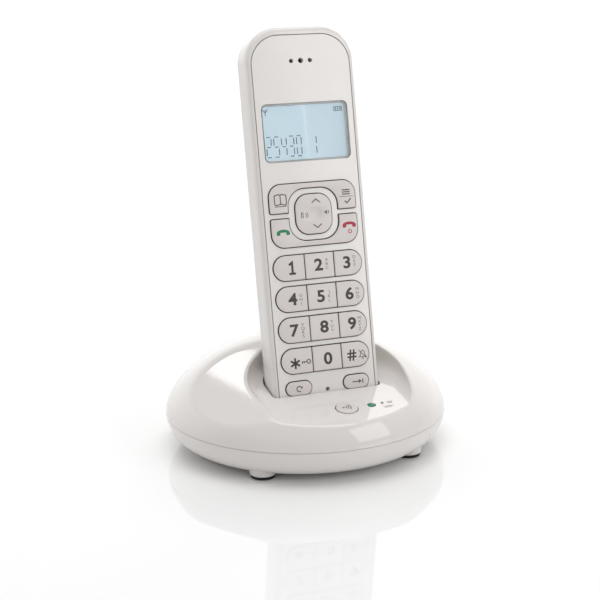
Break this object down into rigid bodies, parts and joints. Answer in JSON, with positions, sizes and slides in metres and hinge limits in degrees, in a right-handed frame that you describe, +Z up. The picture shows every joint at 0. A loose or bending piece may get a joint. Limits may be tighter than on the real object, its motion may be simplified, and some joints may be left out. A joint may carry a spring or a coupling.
{
  "type": "cordless phone with base",
  "caption": "Cordless telephone handset standing in a round charging base, with sprung keys, two rocker keys, a tilting navigation key and a lift-out handset.",
  "frame": {"origin": "middle of the base on the table, at the height of the feet's soles", "axes": "+Z up, the phone's face towards -Y, +X to the right of someone who looks at the face"},
  "size_m": [0.124, 0.124, 0.1813],
  "materials": {
    "white_shell": "glossy warm white moulding",
    "face_plate": "glossy warm white moulding",
    "key_rubber": "satin pinkish grey key caps",
    "foot_rubber": "black rubber pad",
    "screw_steel": "zinc plated steel",
    "circuit_board": "green solder mask",
    "dark_plastic": "black moulding",
    "plug_plastic": "white connector body",
    "light_pipe": "clear green light guide",
    "clear_window": "clear moulded window",
    "display": "pale blue liquid crystal panel",
    "light_panel": "white diffuser",
    "grey_rubber": "moulded silicone",
    "cell_wrap": "printed heat shrink sleeve",
    "contact_metal": "plated spring metal"
  },
  "bodies": {
    "base": {"base_top_shell": "white_shell", "base_bottom_shell": "white_shell", "base_circuit_board": "circuit_board", "front_circuit_board": "circuit_board", "line_jack": "dark_plastic", "power_jack": "dark_plastic", "page_switch": "dark_plastic", "status_light_pipe": "light_pipe", "base_foot_1": "foot_rubber", "base_foot_2": "foot_rubber", "base_foot_3": "foot_rubber", "base_foot_4": "foot_rubber", "base_screw_1": "screw_steel", "base_screw_2": "screw_steel", "base_screw_3": "screw_steel", "base_screw_4": "screw_steel"},
    "handset": {"handset_front_shell": "white_shell", "handset_face_plate": "face_plate", "handset_rear_shell": "white_shell", "display_window": "clear_window", "display_glass": "display", "display_backlight": "light_panel", "earpiece_speaker": "dark_plastic", "microphone": "screw_steel", "ringer_speaker": "dark_plastic", "keypad_membrane": "grey_rubber", "handset_circuit_board": "circuit_board", "battery_cell_1": "cell_wrap", "battery_cell_2": "cell_wrap", "battery_cell_3": "cell_wrap", "battery_plug": "plug_plastic", "charge_pad_left": "contact_metal", "charge_pad_right": "contact_metal", "handset_screw_left": "screw_steel", "handset_screw_right": "screw_steel"},
    "key_1": {"key_1": "key_rubber"},
    "key_2": {"key_2": "key_rubber"},
    "key_3": {"key_3": "key_rubber"},
    "key_4": {"key_4": "key_rubber"},
    "key_5": {"key_5": "key_rubber"},
    "key_6": {"key_6": "key_rubber"},
    "key_7": {"key_7": "key_rubber"},
    "key_8": {"key_8": "key_rubber"},
    "key_9": {"key_9": "key_rubber"},
    "key_star": {"key_star": "key_rubber"},
    "key_0": {"key_0": "key_rubber"},
    "key_hash": {"key_hash": "key_rubber"},
    "key_recall": {"key_recall": "key_rubber"},
    "key_redial": {"key_redial": "key_rubber"},
    "call_rocker": {"call_rocker": "key_rubber"},
    "menu_rocker": {"menu_rocker": "key_rubber"},
    "navigation_dome": {"navigation_dome": "grey_rubber"},
    "navigation_key": {"navigation_key": "key_rubber"},
    "battery_door": {"battery_door": "white_shell"},
    "page_button": {"page_button": "face_plate"},
    "charge_contact_left": {"charge_contact_left": "contact_metal"},
    "charge_contact_right": {"charge_contact_right": "contact_metal"}
  },
  "joints": [
    {"name": "handset_lift", "type": "slide", "parent": "base", "child": "handset", "axis": [0, 0.19, 0.9818], "range_m": [0, 0.08]},
    {"name": "key_1_press", "type": "slide", "parent": "handset", "child": "key_1", "axis": [0, 0.9818, -0.19], "range_m": [0, 0.0008], "stiffness_N_per_m": 400},
    {"name": "key_2_press", "type": "slide", "parent": "handset", "child": "key_2", "axis": [0, 0.9818, -0.19], "range_m": [0, 0.0008], "stiffness_N_per_m": 400},
    {"name": "key_3_press", "type": "slide", "parent": "handset", "child": "key_3", "axis": [0, 0.9818, -0.19], "range_m": [0, 0.0008], "stiffness_N_per_m": 400},
    {"name": "key_4_press", "type": "slide", "parent": "handset", "child": "key_4", "axis": [0, 0.9818, -0.19], "range_m": [0, 0.0008], "stiffness_N_per_m": 400},
    {"name": "key_5_press", "type": "slide", "parent": "handset", "child": "key_5", "axis": [0, 0.9818, -0.19], "range_m": [0, 0.0008], "stiffness_N_per_m": 400},
    {"name": "key_6_press", "type": "slide", "parent": "handset", "child": "key_6", "axis": [0, 0.9818, -0.19], "range_m": [0, 0.0008], "stiffness_N_per_m": 400},
    {"name": "key_7_press", "type": "slide", "parent": "handset", "child": "key_7", "axis": [0, 0.9818, -0.19], "range_m": [0, 0.0008], "stiffness_N_per_m": 400},
    {"name": "key_8_press", "type": "slide", "parent": "handset", "child": "key_8", "axis": [0, 0.9818, -0.19], "range_m": [0, 0.0008], "stiffness_N_per_m": 400},
    {"name": "key_9_press", "type": "slide", "parent": "handset", "child": "key_9", "axis": [0, 0.9818, -0.19], "range_m": [0, 0.0008], "stiffness_N_per_m": 400},
    {"name": "key_star_press", "type": "slide", "parent": "handset", "child": "key_star", "axis": [0, 0.9818, -0.19], "range_m": [0, 0.0008], "stiffness_N_per_m": 400},
    {"name": "key_0_press", "type": "slide", "parent": "handset", "child": "key_0", "axis": [0, 0.9818, -0.19], "range_m": [0, 0.0008], "stiffness_N_per_m": 400},
    {"name": "key_hash_press", "type": "slide", "parent": "handset", "child": "key_hash", "axis": [0, 0.9818, -0.19], "range_m": [0, 0.0008], "stiffness_N_per_m": 400},
    {"name": "key_recall_press", "type": "slide", "parent": "handset", "child": "key_recall", "axis": [0, 0.9818, -0.19], "range_m": [0, 0.0008], "stiffness_N_per_m": 400},
    {"name": "key_redial_press", "type": "slide", "parent": "handset", "child": "key_redial", "axis": [0, 0.9818, -0.19], "range_m": [0, 0.0008], "stiffness_N_per_m": 400},
    {"name": "call_rocker_tilt", "type": "hinge", "parent": "handset", "child": "call_rocker", "pos_m": [0, -0.01246, 0.09793], "axis": [0, 0.19, 0.9818], "range_deg": [-1.8, 1.8], "stiffness_Nm_per_rad": 0.4},
    {"name": "menu_rocker_tilt", "type": "hinge", "parent": "handset", "child": "menu_rocker", "pos_m": [0, -0.01018, 0.10971], "axis": [0, 0.19, 0.9818], "range_deg": [-1.8, 1.8], "stiffness_Nm_per_rad": 0.4},
    {"name": "navigation_tilt_up_down", "type": "hinge", "parent": "handset", "child": "navigation_dome", "pos_m": [0, -0.01083, 0.10372], "axis": [1, 0, 0], "range_deg": [-3, 3], "stiffness_Nm_per_rad": 0.2},
    {"name": "navigation_tilt_left_right", "type": "hinge", "parent": "navigation_dome", "child": "navigation_key", "pos_m": [0, -0.01083, 0.10372], "axis": [0, 0.19, 0.9818], "range_deg": [-3, 3], "stiffness_Nm_per_rad": 0.2},
    {"name": "battery_door_release", "type": "slide", "parent": "handset", "child": "battery_door", "axis": [0, 0.9818, -0.19], "range_m": [0, 0.015]},
    {"name": "page_button_press", "type": "slide", "parent": "base", "child": "page_button", "axis": [0, 0.1752, -0.9845], "range_m": [0, 0.0008], "stiffness_N_per_m": 400},
    {"name": "charge_contact_left_press", "type": "slide", "parent": "base", "child": "charge_contact_left", "axis": [0, -0.19, -0.9818], "range_m": [0, 0.0008], "stiffness_N_per_m": 300},
    {"name": "charge_contact_right_press", "type": "slide", "parent": "base", "child": "charge_contact_right", "axis": [0, -0.19, -0.9818], "range_m": [0, 0.0008], "stiffness_N_per_m": 300}
  ]
}
